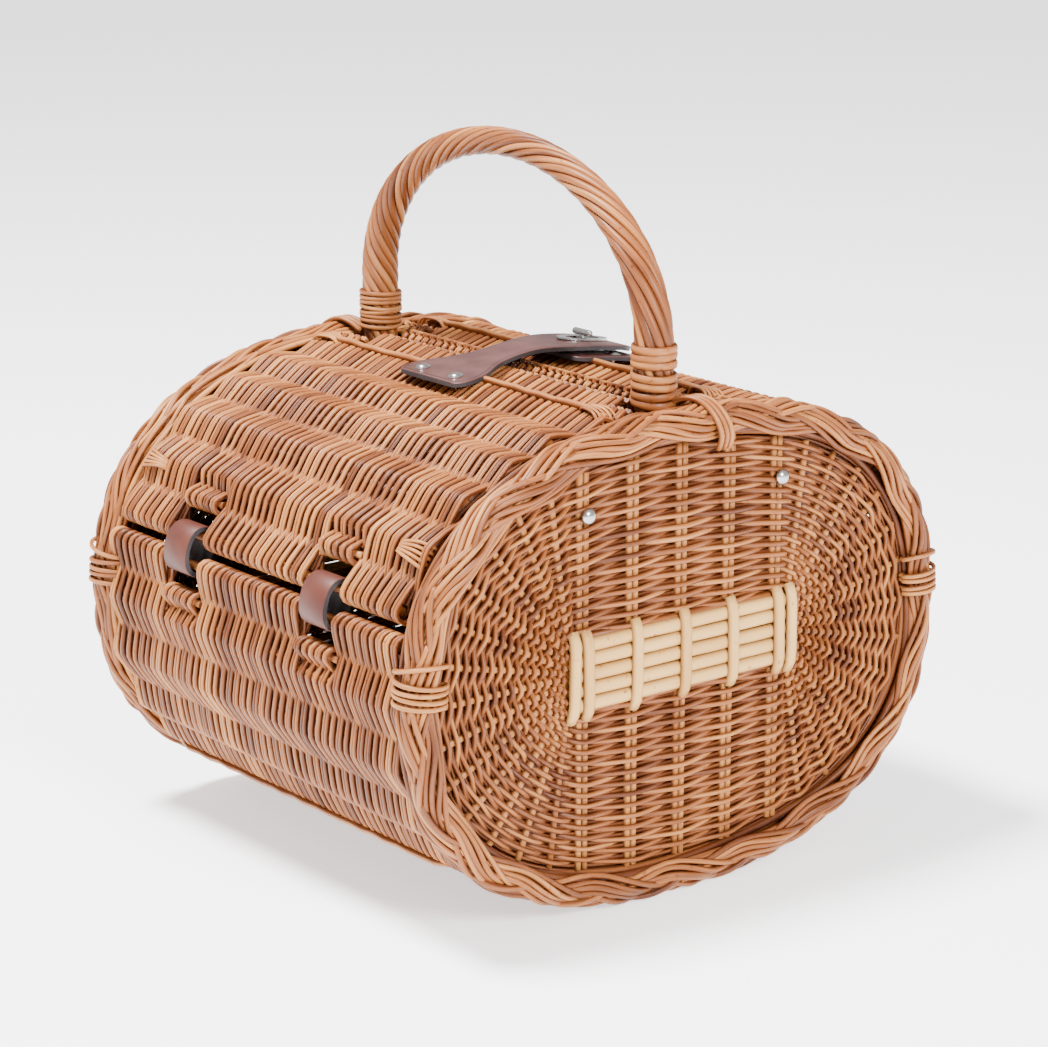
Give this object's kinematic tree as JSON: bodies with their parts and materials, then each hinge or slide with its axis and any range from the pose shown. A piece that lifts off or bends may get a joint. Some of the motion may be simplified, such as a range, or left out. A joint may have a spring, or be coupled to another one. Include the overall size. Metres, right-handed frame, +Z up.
{
  "type": "wicker picnic basket",
  "caption": "Oval barrel-shaped willow picnic basket with two hinged lids, a fixed roped bow handle and a leather strap with a turn-lock.",
  "frame": {"origin": "on the floor under the middle of the barrel", "axes": "+X along the barrel to the right end, -Y to the front lid, +Z up"},
  "size_m": [0.3364, 0.3912, 0.413],
  "materials": {
    "willow": "buff willow rods, satin, woven",
    "pale_willow": "peeled pale willow sticks, satin",
    "strap_leather": "dark brown leather, painted edges, soft sheen",
    "loop_leather": "reddish brown leather, dark edges",
    "nickel": "polished nickel plate"
  },
  "bodies": {
    "basket": {"body_shell": "willow", "right_border": "willow", "right_end_panel": "willow", "right_slath": "pale_willow", "right_handle_tie": "willow", "right_handle_binding": "willow", "right_front_stud": "nickel", "right_front_washer": "nickel", "right_front_border_tie": "willow", "right_back_stud": "nickel", "right_back_washer": "nickel", "right_back_border_tie": "willow", "left_border": "willow", "left_end_panel": "willow", "left_slath": "pale_willow", "left_handle_tie": "willow", "left_handle_binding": "willow", "left_front_stud": "nickel", "left_front_washer": "nickel", "left_front_border_tie": "willow", "left_back_stud": "nickel", "left_back_washer": "nickel", "left_back_border_tie": "willow", "front_rim_rod": "willow", "front_right_hinge_loop": "loop_leather", "front_left_hinge_loop": "loop_leather", "back_rim_rod": "willow", "back_right_hinge_loop": "loop_leather", "back_left_hinge_loop": "loop_leather", "handle": "willow"},
    "front_lid": {"front_lid_panel": "willow", "front_lid_hinge_rod": "willow", "front_lid_top_rod": "willow", "front_lid_right_low_tie": "willow", "front_lid_right_top_tie": "willow", "front_lid_left_low_tie": "willow", "front_lid_left_top_tie": "willow", "strap_tab": "strap_leather", "strap_right_rivet": "nickel", "strap_left_rivet": "nickel"},
    "strap": {"strap_flap": "strap_leather", "eyelet_plate": "nickel"},
    "back_lid": {"back_lid_panel": "willow", "back_lid_hinge_rod": "willow", "back_lid_top_rod": "willow", "back_lid_right_low_tie": "willow", "back_lid_right_top_tie": "willow", "back_lid_left_low_tie": "willow", "back_lid_left_top_tie": "willow", "lock_pad": "strap_leather", "pad_right_rivet": "nickel", "pad_left_rivet": "nickel", "turn_lock_base": "nickel"},
    "turn_button": {"turn_button": "nickel"}
  },
  "joints": [
    {"name": "front_lid_hinge", "type": "hinge", "parent": "basket", "child": "front_lid", "pos_m": [0, -0.17497, 0.189], "axis": [1, 0, 0], "range_deg": [0, 120], "deforming": ["strap_flap", "eyelet_plate"]},
    {"name": "strap_flex", "type": "hinge", "parent": "front_lid", "child": "strap", "pos_m": [0, -0.03837, 0.28005], "axis": [1, 0, 0], "range_deg": [0, 150], "deforming": ["strap_flap", "eyelet_plate"]},
    {"name": "back_lid_hinge", "type": "hinge", "parent": "basket", "child": "back_lid", "pos_m": [0, 0.17497, 0.189], "axis": [-1, 0, 0], "range_deg": [0, 120], "deforming": ["strap_flap", "eyelet_plate"]},
    {"name": "turn_button_turn", "type": "hinge", "parent": "back_lid", "child": "turn_button", "pos_m": [0, 0.05354, 0.28608], "axis": [0, 0.1285, 0.9917], "range_deg": [0, 90]}
  ]
}
